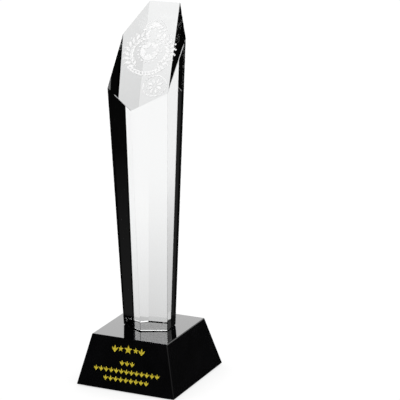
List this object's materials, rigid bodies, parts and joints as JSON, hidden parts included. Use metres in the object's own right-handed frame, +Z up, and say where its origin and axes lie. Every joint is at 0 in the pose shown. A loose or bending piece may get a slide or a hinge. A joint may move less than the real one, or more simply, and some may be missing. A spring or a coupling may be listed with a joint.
{
  "type": "column trophy",
  "caption": "Tall seven-sided clear crystal column award with a slanted, frosted-engraved top face, standing on a black tapered crystal plinth with a gold frieze.",
  "frame": {"origin": "centre of the underside, on the surface that the trophy stands on", "axes": "+Z up along the column; the decorated front of the plinth looks along -Y; +X to the right seen from the front"},
  "size_m": [0.0798, 0.0802, 0.2726],
  "materials": {
    "black_crystal_plinth": "opaque black crystal, polished to a mirror, with narrow polished bevels",
    "clear_crystal": "clear optical crystal, polished on every face; its black parts in use are images of dark surroundings",
    "foot_bond": "thin cured clear adhesive, dark because the black plinth shows through it",
    "gold_paint": "yellow gold paint fill in blasted pockets",
    "frosted_white": "white frosted fill in blasted pockets",
    "foam_pad": "thin black closed-cell foam rubber, self-adhesive"
  },
  "bodies": {
    "root": {"base_block": "black_crystal_plinth", "foot_pad": "foam_pad", "foot_adhesive": "foot_bond", "crystal_column": "clear_crystal", "gold_infill": "gold_paint", "frosted_emblem": "frosted_white"}
  },
  "joints": []
}
